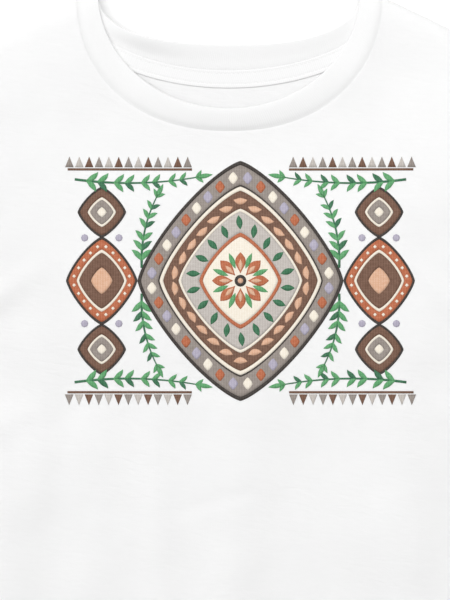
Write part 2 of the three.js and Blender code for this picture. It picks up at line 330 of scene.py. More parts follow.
def crease_height(y):
    """Height of the crease itself, which is higher where the shoulder seam stiffens it."""
    return mix(SIDE_FOLD, SHOULDER_FOLD, smooth(y, ARMPIT[1], SHOULDER_POINT[1]))


def upper_height(x, y):
    """The crease, a roll over it, and an arch that nears its full height over the reach of the rise."""
    distance = crease_distance(x, y)
    cuff = segment_distance(np.abs(x), y, CUFF_TOP, CUFF_BOTTOM)
    open_end = np.maximum(np.exp((HEM_Y - y) / HEM_REACH), np.exp(-cuff / CUFF_REACH))
    rise = mix(BODY_RISE, OPEN_END_RISE, np.clip(open_end, 0, 1)) - crease_height(y)
    rolled = np.minimum(FOLD_RADIUS, rise) * ROLL_SHARE
    arched = (rise - rolled) * (1 - np.exp(-distance / RISE_REACH))
    return crease_height(y) + rolled * turned(distance, FOLD_RADIUS) + arched


def lower_height(x, y):
    """The crease, rolled down to the floor."""
    return crease_height(y) * (1 - turned(crease_distance(x, y), FLOOR_RADIUS))


# %% [markdown]
# ## Folds
#
# Knitted cotton is soft, so it hardly holds a crease. It lies in long low folds: down the body, out of the
# armpits where the sleeve pulls, and in slow waves that open towards the hem. They could be simulated. Here
# they are drawn, because each one then has a known place: a fold is a bell-shaped ridge along a slightly bent
# line. Slow random swells push the lines about, so that no two folds run alike.

# %% Helpers for folds
LATTICE = 64


def swells(x, y, size, seed):
    """Random swells from -1 to 1: a lattice of random numbers, a size apart, blended by the smooth cubic."""
    lattice = np.random.default_rng(seed).uniform(-1, 1, (LATTICE, LATTICE))
    across, up = x / size + (LATTICE - 1) / 2, y / size + (LATTICE - 1) / 2
    column, row = np.floor(across).astype(int) % LATTICE, np.floor(up).astype(int) % LATTICE
    right, above = (column + 1) % LATTICE, (row + 1) % LATTICE
    to_right, to_above = smooth(across % 1, 0, 1), smooth(up % 1, 0, 1)
    below = mix(lattice[row, column], lattice[row, right], to_right)
    return mix(below, mix(lattice[above, column], lattice[above, right], to_right), to_above)


def fold(x, y, start, end, width, height, bend=0):
    """A ridge in millimetres: a bell across a parabola from start to end, swelling and fading along it."""
    start, end = np.array(start) * MM, np.array(end) * MM
    length = np.hypot(*(end - start))
    step_x, step_y = (end - start) / length
    share = ((x - start[0]) * step_x + (y - start[1]) * step_y) / length
    aside = (y - start[1]) * step_x - (x - start[0]) * step_y - bend * MM * 4 * share * (1 - share)
    fade = smooth(share, -0.1, 0.4) * (1 - smooth(share, 0.6, 1.1))
    return height * MM * bell(aside, width * MM) * fade


# %% The folds of the upper layer
# Each fold: its start and end from the middle of the neck, its width, its height and how far it bends, in mm.
BODY_FOLDS = [
    ((-160, 90), (-172, -410), 24, 6.8, 4),
    ((-133, 175), (-141, -90), 11, 1.4, 3),
    ((-94, 130), (-102, -420), 19, 2.2, -4),
    ((-51, 125), (-58, -400), 13, 2.8, 4),
    ((8, 150), (2, -420), 22, 4.2, -4),
    ((73, 90), (84, -420), 20, 1.0, 4),
    ((119, 190), (132, -400), 27, 3.6, -5),
    ((-48, -10), (29, 2), 3.5, -0.8, 3),
    ((-196, -60), (-212, -430), 20, 3.2, 6),
    ((196, -40), (210, -430), 22, 3.0, -6),
    ((-12, -150), (-16, -430), 20, 2.2, 4),
    ((-226, 10), (-236, -400), 11, -1.8, 0),
    ((230, 0), (238, -400), 11, -1.6, 0),
]
ARM_FOLDS = [
    ((262, 72), (128, 176), 9, 2.8, 10),
    ((258, 50), (132, 66), 10, 2.2, 8),
    ((250, 96), (186, 226), 8, 2.0, -6),
    ((250, 78), (338, 186), 9, 3.0, -8),
    ((262, 60), (372, 128), 9, 2.4, -6),
    ((250, 100), (262, 246), 8, 1.9, 8),
    ((300, 60), (352, 96), 8, -1.5, 4),
]


def front_lift(x, y):
    """All folds on slightly swollen lines, and slow swells, fading where the cloth turns over a crease."""
    moved_x, moved_y = (way + 7 * MM * swells(x, y, 70 * MM, seed) for way, seed in ((x, 1), (y, 2)))
    lift = sum(fold(moved_x, moved_y, *one) for one in BODY_FOLDS)
    arm_x = np.abs(moved_x) + 5 * MM * swells(x, y, 90 * MM, 3)
    lift = lift + sum(fold(arm_x, moved_y, *one) for one in ARM_FOLDS)
    lift = lift + 1.0 * MM * swells(x, y, 48 * MM, 4) + 0.35 * MM * swells(x, y, 19 * MM, 5)
    return lift * smooth(crease_distance(x, y), 1 * MM, 45 * MM)


def polyline_distance(x, y, line_x, line_y):
    """Distance to a curve, as the smallest distance to the straight steps between its points."""
    ends = np.stack([line_x, line_y], -1)
    return np.min([segment_distance(x, y, a, b) for a, b in zip(ends[:-1], ends[1:])], axis=0)


NECK_SINK = 0.42
NECK_SINK_REACH = 70 * MM
NECK_HOLD = 7.5 * MM
NECK_HOLD_REACH = 90 * MM
NECK_ANGLES = np.linspace(-np.pi / 2, np.pi / 2, 41)
front_seam_line = neck_curve(NECK_ANGLES, HIGH_POINT, FRONT_SEAM_Y, FRONT_SEAM_POWER)
back_seam_line = neck_curve(NECK_ANGLES, HIGH_POINT, BACK_SEAM_Y)


def front_height(x, y):
    """The upper layer with its folds. It rises less near the neck, where no air is shut in under it, and
    least in the middle of the neck."""
    near = bell(polyline_distance(x, y, *front_seam_line), NECK_SINK_REACH)
    sink = NECK_SINK + 0.1 * smooth(HIGH_POINT_Y - y, 15 * MM, 60 * MM)
    crease = crease_height(y)
    return crease + (upper_height(x, y) - crease) * (1 - sink * near) + front_lift(x, y)


def back_height(x, y):
    """The lower layer lies on the floor but for a few low waves, and the neckband holds it up a little."""
    waves = 0.5 * MM * (1 + swells(x, y, 42 * MM, 6)) + 0.2 * MM * (1 + swells(x, y, 17 * MM, 7))
    near = bell(polyline_distance(x, y, *back_seam_line), NECK_HOLD_REACH)
    distance = crease_distance(x, y)
    low = lower_height(x, y) + waves * smooth(distance, 4 * MM, 30 * MM)
    hold = NECK_HOLD + 2 * MM * smooth(HIGH_POINT_Y - y, 15 * MM, 45 * MM)
    return low + np.maximum(hold - low, 0) * near * smooth(distance, 0, 12 * MM)


# %% [markdown]
# ## From a function to a mesh
#
# Every piece of cloth is a grid: a function gives the place of a point from its two parameters, worked out
# for the whole grid at once. Jersey is about 0.7 mm thick. A Solidify modifier could give it that thickness,
# but it moves each point along a normal averaged from the faces, which means little where the faces are
# slivers, as at the two ends of the neck. So a second grid is put a thickness inside the first, along normals
# worked out from the grid itself, and a rim closes the two. Each grid has a UV map in metres of cloth, which
# is what the knit is drawn on.

# %% Helper for surfaces
JERSEY = 0.7 * MM


def unit(vectors):
    """The same directions with a length of 1."""
    return vectors / np.maximum(np.linalg.norm(vectors, axis=-1, keepdims=True), 1e-12)


def normals_of(points, round_columns=False):
    """Unit normals of a grid: the cross product of its central differences, carried on round a round grid."""
    if round_columns:
        points = np.concatenate([points[:, -2:-1], points, points[:, 1:2]], 1)
    normals = unit(np.cross(np.gradient(points, axis=1), np.gradient(points, axis=0)))
    return normals[:, 1:-1] if round_columns else normals


def lengths(points, axis):
    """Distance walked over a grid along one axis, as the running sum of its straight steps."""
    steps = np.linalg.norm(np.diff(points, axis=axis), axis=-1)
    return np.insert(np.cumsum(steps, axis=axis), 0, 0, axis=axis)


def corners_of(rows, columns):
    """Row and column of each quad's four corners, counter-clockwise where columns run +X and rows +Y."""
    row, column = (grid.ravel()[:, None] for grid in np.mgrid[0 : rows - 1, 0 : columns - 1])
    return row + [0, 0, 1, 1], column + [0, 1, 1, 0]


def shell_of(rows, columns, round_columns):
    """Row, column and side of each corner of a closed shell. Side 0 is the outside, and 1 the inside."""
    row, column = corners_of(rows, columns)
    along, up = np.arange(columns - 1)[:, None], np.arange(rows - 1)[:, None]
    ahead, side = np.array([1, 0, 0, 1]), np.array([0, 0, 1, 1])
    parts = [
        (row, column, 0),
        (row[:, ::-1], column[:, ::-1], 1),
        (0, along + ahead, side),
        (rows - 1, along + 1 - ahead, side),
    ]
    if not round_columns:
        parts += [(up + ahead, columns - 1, side), (up + 1 - ahead, 0, side)]
    return np.concatenate([np.stack(np.broadcast_arrays(*part)) for part in parts], 1)


def piece(name, vertices, faces, material, uv=None):
    """A mesh object that rides with the shirt. uv holds one pair for each corner of each face."""
    mesh = bpy.data.meshes.new(name)
    mesh.from_pydata(vertices, [], faces)
    if uv is not None:
        mesh.uv_layers.new(name="cloth").uv.foreach_set("vector", uv.astype(np.float32).ravel())
    mesh.shade_smooth()
    mesh.materials.append(material)
    made = placed(name, mesh)
    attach(made, "root")
    return made


def cloth(name, points, uv, material, thickness=JERSEY, normals=None, round_columns=False):
    """A closed piece of cloth: a grid, the same a thickness inside it, and a rim. A round grid's last column
    is its first one again. Both sides are shaded along the grid's normals, and the rim as it is."""
    normals = normals_of(points, round_columns) if normals is None else normals
    sides = np.stack([points, points - thickness * normals])
    kept = sides[:, :, : points.shape[1] - round_columns]
    row, column, side = shell_of(*points.shape[:2], round_columns)
    own = (side * kept.shape[1] + row) * kept.shape[2] + column % kept.shape[2]
    made = piece(name, kept.reshape(-1, 3), own, material, uv[row, column])
    shaded = np.stack([normals, -normals])[side, row, column]
    shaded[2 * (points.shape[0] - 1) * (points.shape[1] - 1) :] = 0
    made.data.normals_split_custom_set(shaded.reshape(-1, 3))
    print(name, "has", len(own), "faces")
    return made


# %% [markdown]
# ## Cotton jersey
#
# Jersey is knitted from fine cotton yarn in columns of small V-shaped loops, about 11 to the centimetre. It
# scatters light evenly and has a faint bloom of loose fibres, so it is rough, with a little sheen and hardly
# any shine. Bleached cotton is never one even white: the yarn has thick and thin places, which show as fine
# streaks along the rows of loops.

# %% Material: white cotton jersey
WALE = 1.8 * MM  # real columns are 0.9 mm apart, and are drawn twice as wide to show
COURSE = 1.5 * MM


def knit(add, place):
    """Height of a jersey's loops, 0 to 1: a cosine over each column, and half a sine over V-shaped rows."""
    parts = add("SeparateXYZ", (place,))
    column = add("Math", (parts, 1 / WALE), operation="MULTIPLY")
    row = add("Math", (parts.outputs[1], 1 / COURSE), operation="MULTIPLY")
    vee = add("Math", (column, 0.5), operation="PINGPONG")
    leaning = add("Math", (vee, row), operation="ADD")
    turns = [add("Math", (share, 2 * np.pi), operation="MULTIPLY") for share in (column, leaning)]
    ribs = add("Math", (turns[0],), operation="COSINE")
    loops = add("Math", (turns[1],), operation="SINE")
    both = add("Math", (loops, 0.5, ribs), operation="MULTIPLY_ADD")
    return add("Math", (both, 0.33, 0.5), operation="MULTIPLY_ADD")


def streaks(add, place, along, across, detail=2.0, distortion=0.0):
    """Noise stretched over the cloth, with features of the two sizes in metres."""
    stretched = add("Mapping", {"Vector": place, "Scale": (1 / along, 1 / across, 1)})
    return add("TexNoise", {"Vector": stretched, "Scale": 1.0, "Detail": detail, "Distortion": distortion})


def crinkled(add, place):
    """Small creases, 0 to 1: bent streaks on a slant, let through where a slow noise is high."""
    slant = add("Mapping", {"Vector": place, "Rotation": (0, 0, np.radians(8))})
    large = streaks(add, slant, 22 * MM, 6 * MM, distortion=0.9)
    small = streaks(add, slant, 9 * MM, 3.5 * MM, distortion=0.9)
    patches = add("MapRange", (streaks(add, place, 50 * MM, 70 * MM), 0.35, 0.65, 0.35))
    both = add("Math", (small, 0.4, large), operation="MULTIPLY_ADD")
    return add("Math", (both, patches), operation="MULTIPLY")


def finish(add, bump, shade, span, colours, fleck, rough, constants):
    """The last nodes of a finish: the colour runs between two over a span of the shade, and the roughness
    between two by the fleck. The constants are the same all over it."""
    tone = add("MapRange", (shade, span[0], span[1]))
    colour = add("Mix", {0: tone, 6: linear(colours[0]), 7: linear(colours[1])}, data_type="RGBA")
    uneven = add("MapRange", {0: fleck, 3: rough[0], 4: rough[1]})
    look = {"Base Color": colour.outputs[2], "Roughness": uneven, "Normal": bump}
    add("OutputMaterial", {"Surface": add("BsdfPrincipled", {**look, **constants})})


def cotton(name, dark, light, relief, crease, glow):
    """Cotton on a piece's own UV map, between a dark and a light shade. relief is the height of its loops,
    crease that of its crinkles, and glow the share of the light that spreads inside it."""
    material, add = new_material(name)
    place = add("UVMap", uv_map="cloth")
    slubs = streaks(add, place, 9 * MM, 1.6 * MM)
    clouds = streaks(add, place, 60 * MM, 45 * MM)
    shade = add("Math", (slubs, 0.4, clouds), operation="MULTIPLY_ADD")
    high = add("Math", (slubs, 0.8, knit(add, place)), operation="MULTIPLY_ADD")
    loops = add("Bump", {"Height": high, "Strength": 0.4, "Distance": relief})
    folds = {"Height": crinkled(add, place), "Strength": 1.0, "Distance": crease, "Normal": loops}
    bloom = {"Sheen Weight": 0.35, "Sheen Roughness": 0.35, "Specular IOR Level": 0.25}
    inside = {"Subsurface Weight": glow, "Subsurface Radius": (1, 1, 1), "Subsurface Scale": 1.2 * MM}
    bump = add("Bump", folds)
    finish(add, bump, shade, (0.4, 1.0), (dark, light), slubs, (0.86, 0.96), {**bloom, **inside})
    return material


jersey = cotton("white_cotton_jersey", "#ececec", "#f0f0f0", 0.018 * MM, 0.26 * MM, 0.5)
print(jersey.name, "has", len(jersey.node_tree.nodes), "nodes")

# %% [markdown]
# ## Hems
#
# The hem and the cuffs are turned up 25 mm to the inside and sewn with a twin needle, which leaves two rows
# of stitches on the outside. The turned-up cloth makes them a little thicker and keeps them flatter. The
# cloth's grid simply carries on: out to the edge, round a half circle, and back on the inside.

# %% Helper for a turned-up hem
FOLD_HALF = 0.95 * MM
HEM_STEPS = np.array([25.5, 25, 22, 18, 14, 10, 6, 3, 1]) * MM
BEND_ANGLES = np.radians([-60, -30, 0, 30, 60])
OUTSIDE_ROW = len(HEM_STEPS) + len(BEND_ANGLES) - 1


def bent_over(rows, normals, angles, half):
    """The way out and the place of each point of a bend past the last of some rows: part of a circle about a
    point half a fold behind that row."""
    angles = angles[:, None, None]
    way = np.sin(angles) * normals[-1] + np.cos(angles) * unit(rows[-1] - rows[-2])
    return way, rows[-1] - half * normals[-1] + half * way


def hemmed(edge_rows, outside):
    """The grid of a hemmed piece: the inside of the hem, its bend, and then the outside.

    edge_rows are the outside at each of HEM_STEPS. The inside is the same rows moved back by the width of
    the fold.
    """
    normals = -normals_of(edge_rows)
    _, bend = bent_over(edge_rows, normals, BEND_ANGLES, FOLD_HALF)
    return np.concatenate([edge_rows - 2 * FOLD_HALF * normals, bend, outside])


# %% [markdown]
# ## The front
#
# The front panel runs from the hem up to the neck seam and the shoulders. Its seams show as shallow grooves:
# along its edge the cloth dips, because it is pulled down to the line of stitches, and beside that the
# turned-in edge of the seam under it lifts it a little.

# %% Seams
def seam_dip(distance, depth, lift):
    """Down at the seam, within 1.4 mm, and up by the lift over the 6 mm of seam allowance beside it."""
    raised = lift * smooth(distance, 0.4 * MM, 2.5 * MM) * (1 - smooth(distance, 5 * MM, 8 * MM))
    return raised - depth * (1 - smooth(distance, 0, 1.4 * MM))


ARMHOLE_SEAM = (0.6 * MM, 0.3 * MM)
NECK_SEAM = (0.08 * MM, 0)
ARMHOLE_Y = np.linspace(ARMPIT[1], SHOULDER_POINT[1], 25)
armhole_line = (side_x(ARMHOLE_Y), ARMHOLE_Y)


# %% Front panel
HEM_SHARE = 0.045
END_CROWDING, TOP_CROWDING = 0.95, 0.75


def body_columns(neck, shoulder):
    """Shares from -1 to 1 that crowd towards the two ends of the neck and of the shoulders."""
    at_neck = NECK_SHARE * crowded(neck, END_CROWDING)
    half = np.concatenate([at_neck, mix(NECK_SHARE, 1, eased(shoulder))[1:]])
    return np.concatenate([-half[:0:-1], half])


def body_rows(count):
    """Shares up the body for the outside: the steps of the hem, then rows that crowd to the top edge."""
    height = SHOULDER_POINT[1] - HEM_Y
    return np.concatenate([HEM_STEPS[:1:-1] / height, mix(HEM_SHARE, 1, crowded(count, TOP_CROWDING))])


def front_point(across, up):
    """A point of the front's outside, with its seams."""
    x, y = body_plan(across, up, FRONT_SEAM_Y)
    neck = polyline_distance(x, y, *front_seam_line)
    arm = polyline_distance(np.abs(x), y, *armhole_line)
    z = front_height(x, y) + seam_dip(neck, *NECK_SEAM) + seam_dip(arm, *ARMHOLE_SEAM)
    return np.stack([x, y, z], -1)


def panel_normals(grid, height, up):
    """The grid's own normals, but the height function's where the grid's two directions nearly meet, as they
    do at the ends of the neck."""
    over_row, over_column = np.gradient(grid, axis=1), np.gradient(grid, axis=0)
    over = np.cross(over_row, over_column)
    area, width, depth = (np.linalg.norm(way, axis=-1) for way in (over, over_row, over_column))
    x, y = grid[..., 0], grid[..., 1]
    slope_x = (height(x + MM / 2, y) - height(x - MM / 2, y)) / MM
    slope_y = (height(x, y + MM / 2) - height(x, y - MM / 2)) / MM
    upright = up * unit(np.stack([-slope_x, -slope_y, np.ones_like(x)], -1))
    return unit(mix(upright, unit(over), smooth(area / width / depth, 0.1, 0.3)[..., None]))


def body_panel(name, point_at, height, up, columns, rows):
    """A body panel and its grid, hem included. Its UV map is x across, and the distance up each column."""
    edge_rows = point_at(*np.meshgrid(columns, HEM_STEPS / (SHOULDER_POINT[1] - HEM_Y)))
    grid = hemmed(edge_rows, point_at(*np.meshgrid(columns, rows)))
    uv = np.stack([grid[..., 0], lengths(grid, 0)], -1)
    return cloth(name, grid, uv, jersey, normals=panel_normals(grid, height, up)), grid


front, front_grid = body_panel(
    "front_cloth", front_point, front_height, 1, body_columns(56, 36), body_rows(165)
)
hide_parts("front_panel", "hem_front")

# %% [markdown]
# ## The back
#
# The back panel has the same cut, with a shallower neck. It lies on the floor with its outside down, so what
# shows of it is its inside, through the neck.

# %% Back panel
def back_point(across, up):
    """A point of the back's outside, which looks down, so across runs the other way."""
    x, y = body_plan(-across, up, BACK_SEAM_Y)
    return np.stack([x, y, back_height(x, y)], -1)


back, back_grid = body_panel("back_cloth", back_point, back_height, -1, body_columns(40, 24), body_rows(110))
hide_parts("back_panel", "hem_back")

# %% [markdown]
# ## The sleeves
#
# A sleeve is one piece of cloth, sewn into a tube along its underarm. Laid flat, the tube has a soft fold on
# top and its seam below. The grid's columns run round the tube, and its rows from the cuff to the armhole.

# %% Sleeves
SLEEVE_HALF_COLUMNS = 70
SLEEVE_ROWS = 62
CUFF_ROOM = 28 * MM


def sleeve_point(around, inset, side):
    """A point of a sleeve's outside. around runs from 0 at the underarm seam, over the upper layer to 1 at
    the fold on top, and back under the lower layer to 2. inset is the distance from the cuff in metres, or
    the share of the whole way to the armhole where it is below zero. side is 1 on the left and -1 on the
    right."""
    down = (1 + np.cos(np.pi * around)) / 2
    length = np.hypot(*np.subtract(sleeve_plan(1, down), sleeve_plan(0, down)))
    inset = np.where(inset < 0, mix(CUFF_ROOM, length, -inset), inset)
    x, y = sleeve_plan(1 - inset / length, down)
    x = side * x
    upper = front_height(x, y) + seam_dip(length - inset, *ARMHOLE_SEAM)
    return np.stack([x, y, np.where(around < 1, upper, back_height(x, y))], -1)


def sleeve(name, side):
    """The tube of a sleeve. The right one's columns run the other way, so that its outside is outside too."""
    around = np.linspace(0, 2, 2 * SLEEVE_HALF_COLUMNS + 1)[::side]
    outside = np.concatenate([HEM_STEPS[:1:-1], -crowded(SLEEVE_ROWS, 0.5)[1:]])
    under = sleeve_point(*np.meshgrid(around, HEM_STEPS), side)
    grid = hemmed(under, sleeve_point(*np.meshgrid(around, outside), side))
    walked = lengths(grid, 1)
    uv = np.stack([walked - walked[:, [SLEEVE_HALF_COLUMNS]], lengths(grid, 0)], -1)
    made = cloth(f"sleeve_{name}_cloth", grid, uv, jersey, round_columns=True)
    nodes = [f"sleeve_{part}{name}_{layer}" for part in ("", "hem_") for layer in ("front", "back")]
    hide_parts(*nodes)
    return made, grid


sleeve_left, sleeve_left_grid = sleeve("left", 1)
sleeve_right, sleeve_right_grid = sleeve("right", -1)

# %% [markdown]
# ## The neckband
#
# The neckband is a strip of ribbing, folded in two along its length and sewn on by its raw edges. Ribbing is
# knitted in columns that stand up and fall back in turn, so it stretches and springs back, and it pulls the
# neck in. The strip is shorter than the neck's seam, so its free edge stands up a little. Its ribs are wide
# enough to see, so they are in the mesh: four columns of the grid to a rib.

# %% The neckband's way round the neck
BAND_CORNER = np.array([BAND_EDGE_HALF, HIGH_POINT_Y + BAND_EDGE_RISE])
BAND_BACK_POWER = 2.5
BAND_FOLD_HALF = 0.8 * MM
RIB = 1.5 * MM
RIB_COLUMNS = 4


def ring(turn, corner, in_front, at_back):
    """A curve round the neck: 0 is the middle of the front, and pi the middle of the back. Each half is given
    by y at its middle and the power of its curve."""
    halves = neck_curve(turn, corner, *in_front), neck_curve(np.pi - turn, corner, *at_back)
    return np.where(np.cos(turn) >= 0, *halves)


def ply_gap(up):
    """Distance between the outer faces of the two plies, which are pressed together at the seam."""
    return 2 * BAND_FOLD_HALF * mix(0.5, 1, smooth(up, 0, 0.4))


# How high the band stands, in mm: its rise in front and the droop of its free edge, the depth of the seam's
# groove, the sag of its free edge at the sides, and its rise at the back, most on the wearer's right.
CLIMB, DROOP, GROOVE = 2.8, 0.5, 1.4
SAG, SAG_TURN = 1.7, 1.2
LEAN, MORE_LEAN, MORE_LEAN_TURN = 1.4, 3.4, np.pi + 0.68


def band_point(turn, up):
    """Outer face of the band, on straight lines from its seam, at 0, to its free edge, at 1.

    In front it climbs by a quarter of a sine out of the seam's groove, and its free edge droops a little. At
    the sides that edge sags onto the back. At the back it rises by the smooth cubic, most on the wearer's
    right. Below 0 the band goes on under the panel that it is sewn to.
    """
    seam = ring(turn, HIGH_POINT, (FRONT_SEAM_Y, FRONT_SEAM_POWER), (BACK_SEAM_Y, 2.0))
    edge = ring(turn, BAND_CORNER, (BAND_FRONT_EDGE_Y, 2.0), (BAND_BACK_EDGE_Y, BAND_BACK_POWER))
    x, y = mix(seam, edge, up)
    facing = np.cos(turn)
    foot = np.where(up < 0, (x, y), seam)
    foot = np.where(facing >= 0, front_height(*foot), back_height(*foot))
    before, behind = np.clip(facing, 0, 1) ** 1.4, np.clip(-facing, 0, 1)
    climb = CLIMB * np.sin(np.pi / 2 * np.clip(up / 0.9, 0, 1)) - DROOP * smooth(up, 0.85, 1.1)
    groove = GROOVE * np.clip(facing, 0, 1) ** 2
    lean = (LEAN + MORE_LEAN * bell(turn - MORE_LEAN_TURN, 0.35)) * smooth(up, 0.2, 1)
    over_panel = mix(0.15, 0.9, before) * smooth(up, -0.1, 0.25) - 0.1 - 0.2 * before
    under_tape = 0.65 + 0.3 * smooth(up, 0, 0.3) - ply_gap(up) / MM
    own = mix(over_panel, under_tape, smooth(-facing, 0, 0.3))
    sag = SAG * bell(np.abs(turn) - SAG_TURN, 0.4) * smooth(up, 0.2, 1)
    height = foot + MM * (climb * before - groove - sag + lean * behind + own)
    return np.stack([x, y, np.maximum(height, 0.15 * MM)], -1)


FINE_STEPS = 8000
fine_turns = np.linspace(-np.pi / 2, 3 * np.pi / 2, FINE_STEPS + 1)
walked = lengths(band_point(fine_turns, 0.5), 0)
RIBS = int(round(walked[-1] / RIB))
band_walk = np.linspace(0, walked[-1], RIB_COLUMNS * RIBS + 1)
band_turns = np.interp(band_walk, walked, fine_turns)
print("the neckband is", round(walked[-1], 3), "m round, with", RIBS, "ribs")

# %% Neckband
RIBBING = 0.7 * MM
RIB_DEPTH = 0.025 * MM
BAND_WIDTH = 16 * MM
PLY_ROWS = 11
UNDER_PANEL, UNDER_SHOULDER = -0.12, -0.02
FOLD_ANGLES = np.radians([65, 35, 0, -35, -65])

ups = np.concatenate([[UNDER_PANEL], np.linspace(0, 1 - BAND_FOLD_HALF / BAND_WIDTH, PLY_ROWS)])
turn, up = np.meshgrid(band_turns, ups)
up[0] = mix(UNDER_SHOULDER, up[0], smooth(np.abs(np.cos(turn[0])), 0.1, 0.5))
outer_ply = band_point(turn, up)
ply_normals = normals_of(outer_ply, True)
ply_normals[0] = ply_normals[1]
fold_way, fold_rows = bent_over(outer_ply, ply_normals, FOLD_ANGLES, BAND_FOLD_HALF)
inner_ply = (outer_ply - ply_gap(up)[..., None] * ply_normals)[::-1]

way_out = np.concatenate([ply_normals, fold_way, -ply_normals[::-1]])
band_grid = np.concatenate([outer_ply, fold_rows, inner_ply])
near_seam = smooth(lengths(band_grid, 0)[:, :1], 0.5 * MM, 3 * MM)
wave = np.cos(2 * np.pi / RIB_COLUMNS * np.arange(RIB_COLUMNS * RIBS + 1))
band_grid = band_grid + way_out * (RIB_DEPTH * near_seam * wave)[..., None]
band_uv = np.stack(np.broadcast_arrays(band_walk, lengths(band_grid, 0)), -1)

ribbing = cotton("white_cotton_rib", "#ebebeb", "#ededed", 0.02 * MM, 0.08 * MM, 0.18)
band_normals = normals_of(band_grid, True)
band_normals[[0, -1]] = band_normals[[1, -2]]
band = cloth("neckband_rib", band_grid, band_uv, ribbing, RIBBING, band_normals, round_columns=True)
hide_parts("neckband_front", "neckband_back")

# %% [markdown]
# ## The neck tape
#
# A narrow strip of twill is sewn over the seam inside the back of the neck. It hides the raw edges, and it
# keeps the neck from stretching. Twill is woven, with fine slanting lines, and its two long edges are folded
# under, so it is thicker there.

# %% Neck tape
TAPE_WIDTH = 12.4 * MM
TAPE_START = -0.8 * MM
TAPE_END = np.radians(66)
TAPE_THICKNESS = 0.45 * MM
TAPE_CROWN = 0.45 * MM
TAPE_COLUMNS, TAPE_ROWS = 160, 40
TAPE_SEAMS = (2 * MM, 9.4 * MM)


def tape_point(angle, width):
    """A point of the tape's face. It follows the neck's curve, a width out from the seam."""
    corner = (NECK_HALF + width, HIGH_POINT_Y)
    x, y = neck_curve(angle, corner, BACK_SEAM_Y - width)
    edges = np.minimum(width - TAPE_START, TAPE_START + TAPE_WIDTH - width)
    crowned = TAPE_CROWN * turned(edges, 0.8 * MM) * (0.75 + 0.25 * (1 - smooth(edges, 2 * MM, 3.4 * MM)))
    pulled_in = sum(bell(width - TAPE_START - seam, 0.5 * MM) for seam in TAPE_SEAMS)
    face = JERSEY + TAPE_THICKNESS + crowned - 0.2 * MM * pulled_in
    return np.stack([x, y, back_height(x, y) + face], -1)


tape_angles = np.linspace(TAPE_END, -TAPE_END, TAPE_COLUMNS)
tape_widths = TAPE_START + TAPE_WIDTH * eased(TAPE_ROWS)
tape_grid = tape_point(*np.meshgrid(tape_angles, tape_widths))
print("tape's face looks", "up" if normals_of(tape_grid)[..., 2].mean() > 0 else "down")
tape_uv = np.stack([lengths(tape_grid, 1), lengths(tape_grid, 0)], -1)

# %% Material: white twill tape
TWILL_LINE = 1.1 * MM


def twill_tape():
    """Twill: fine ridges on a slant, drawn 1.1 mm apart, where the real ones are about half that."""
    material, add = new_material("white_cotton_twill")
    place = add("UVMap", uv_map="cloth")
    slant = {"Vector": place, "Rotation": (0, 0, np.radians(38)), "Scale": (1 / TWILL_LINE,) * 3}
    parts = add("SeparateXYZ", (add("Mapping", slant),))
    turns = add("Math", (parts, 2 * np.pi), operation="MULTIPLY")
    ridges = add("Math", (turns,), operation="SINE")
    fleck = streaks(add, place, 3 * MM, 1 * MM)
    high = add("Math", (ridges, 0.4, fleck), operation="MULTIPLY_ADD")
    bump = add("Bump", {"Height": high, "Strength": 0.3, "Distance": 0.05 * MM})
    constants = {"Sheen Weight": 0.08, "Specular IOR Level": 0.3}
    finish(add, bump, high, (0.0, 1.0), ("#e9e9e9", "#eeeeee"), fleck, (0.78, 0.9), constants)
    return material


tape = cloth("neck_tape_twill", tape_grid, tape_uv, twill_tape(), TAPE_THICKNESS)
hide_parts("neck_tape")

# %% [markdown]
# ## Stitches
#
# The hems are sewn with a twin needle: two rows of straight stitches, 6 mm apart and about 3 mm long. Each
# stitch is a short arch of thread that dives into the cloth at both ends. There are hundreds, so each is a
# small spindle of 24 faces, and all of a row are placed at once.

# %% Helper for stitches
STITCH_PITCH = 3.0 * MM
STITCH_LENGTH = 2.4 * MM
THREAD_HALF = 0.2 * MM

STITCH_ALONG = np.array([-0.5, -0.36, 0, 0.36, 0.5])
STITCH_GIRTH = np.array([0.25, 0.85, 1, 0.85, 0.25])
STITCH_SIDES = 6
side_angle = np.arange(STITCH_SIDES) * 2 * np.pi / STITCH_SIDES
girth, arch = STITCH_GIRTH[:, None], 0.5 - 6 * STITCH_ALONG[:, None] ** 2
stitch_along = np.repeat(STITCH_ALONG, STITCH_SIDES) * STITCH_LENGTH
stitch_aside = (girth * np.cos(side_angle)).ravel() * THREAD_HALF
stitch_up = (girth * np.sin(side_angle) + arch).ravel() * THREAD_HALF
row, column = corners_of(len(STITCH_ALONG), STITCH_SIDES + 1)
stitch_faces = row * STITCH_SIDES + column % STITCH_SIDES
print("a stitch has", len(stitch_faces), "faces round it")


def stitched(path, normals):
    """Corners of all stitches along a path: centres a pitch apart, turned to the path and to the cloth."""
    walk = lengths(path, 0)
    centres = np.arange(STITCH_PITCH / 2, walk[-1], STITCH_PITCH)

    def met(values, shift=0):
        """The values where each centre is, moved along the path by a shift."""
        return np.stack([np.interp(centres + shift, walk, value) for value in values.T], -1)

    ahead = unit(met(path, 0.5 * MM) - met(path, -0.5 * MM))
    aside = unit(np.cross(met(normals), ahead))
    local = zip((ahead, aside, np.cross(ahead, aside)), (stitch_along, stitch_aside, stitch_up))
    return met(path)[:, None] + sum(way[:, None] * amount[:, None] for way, amount in local)


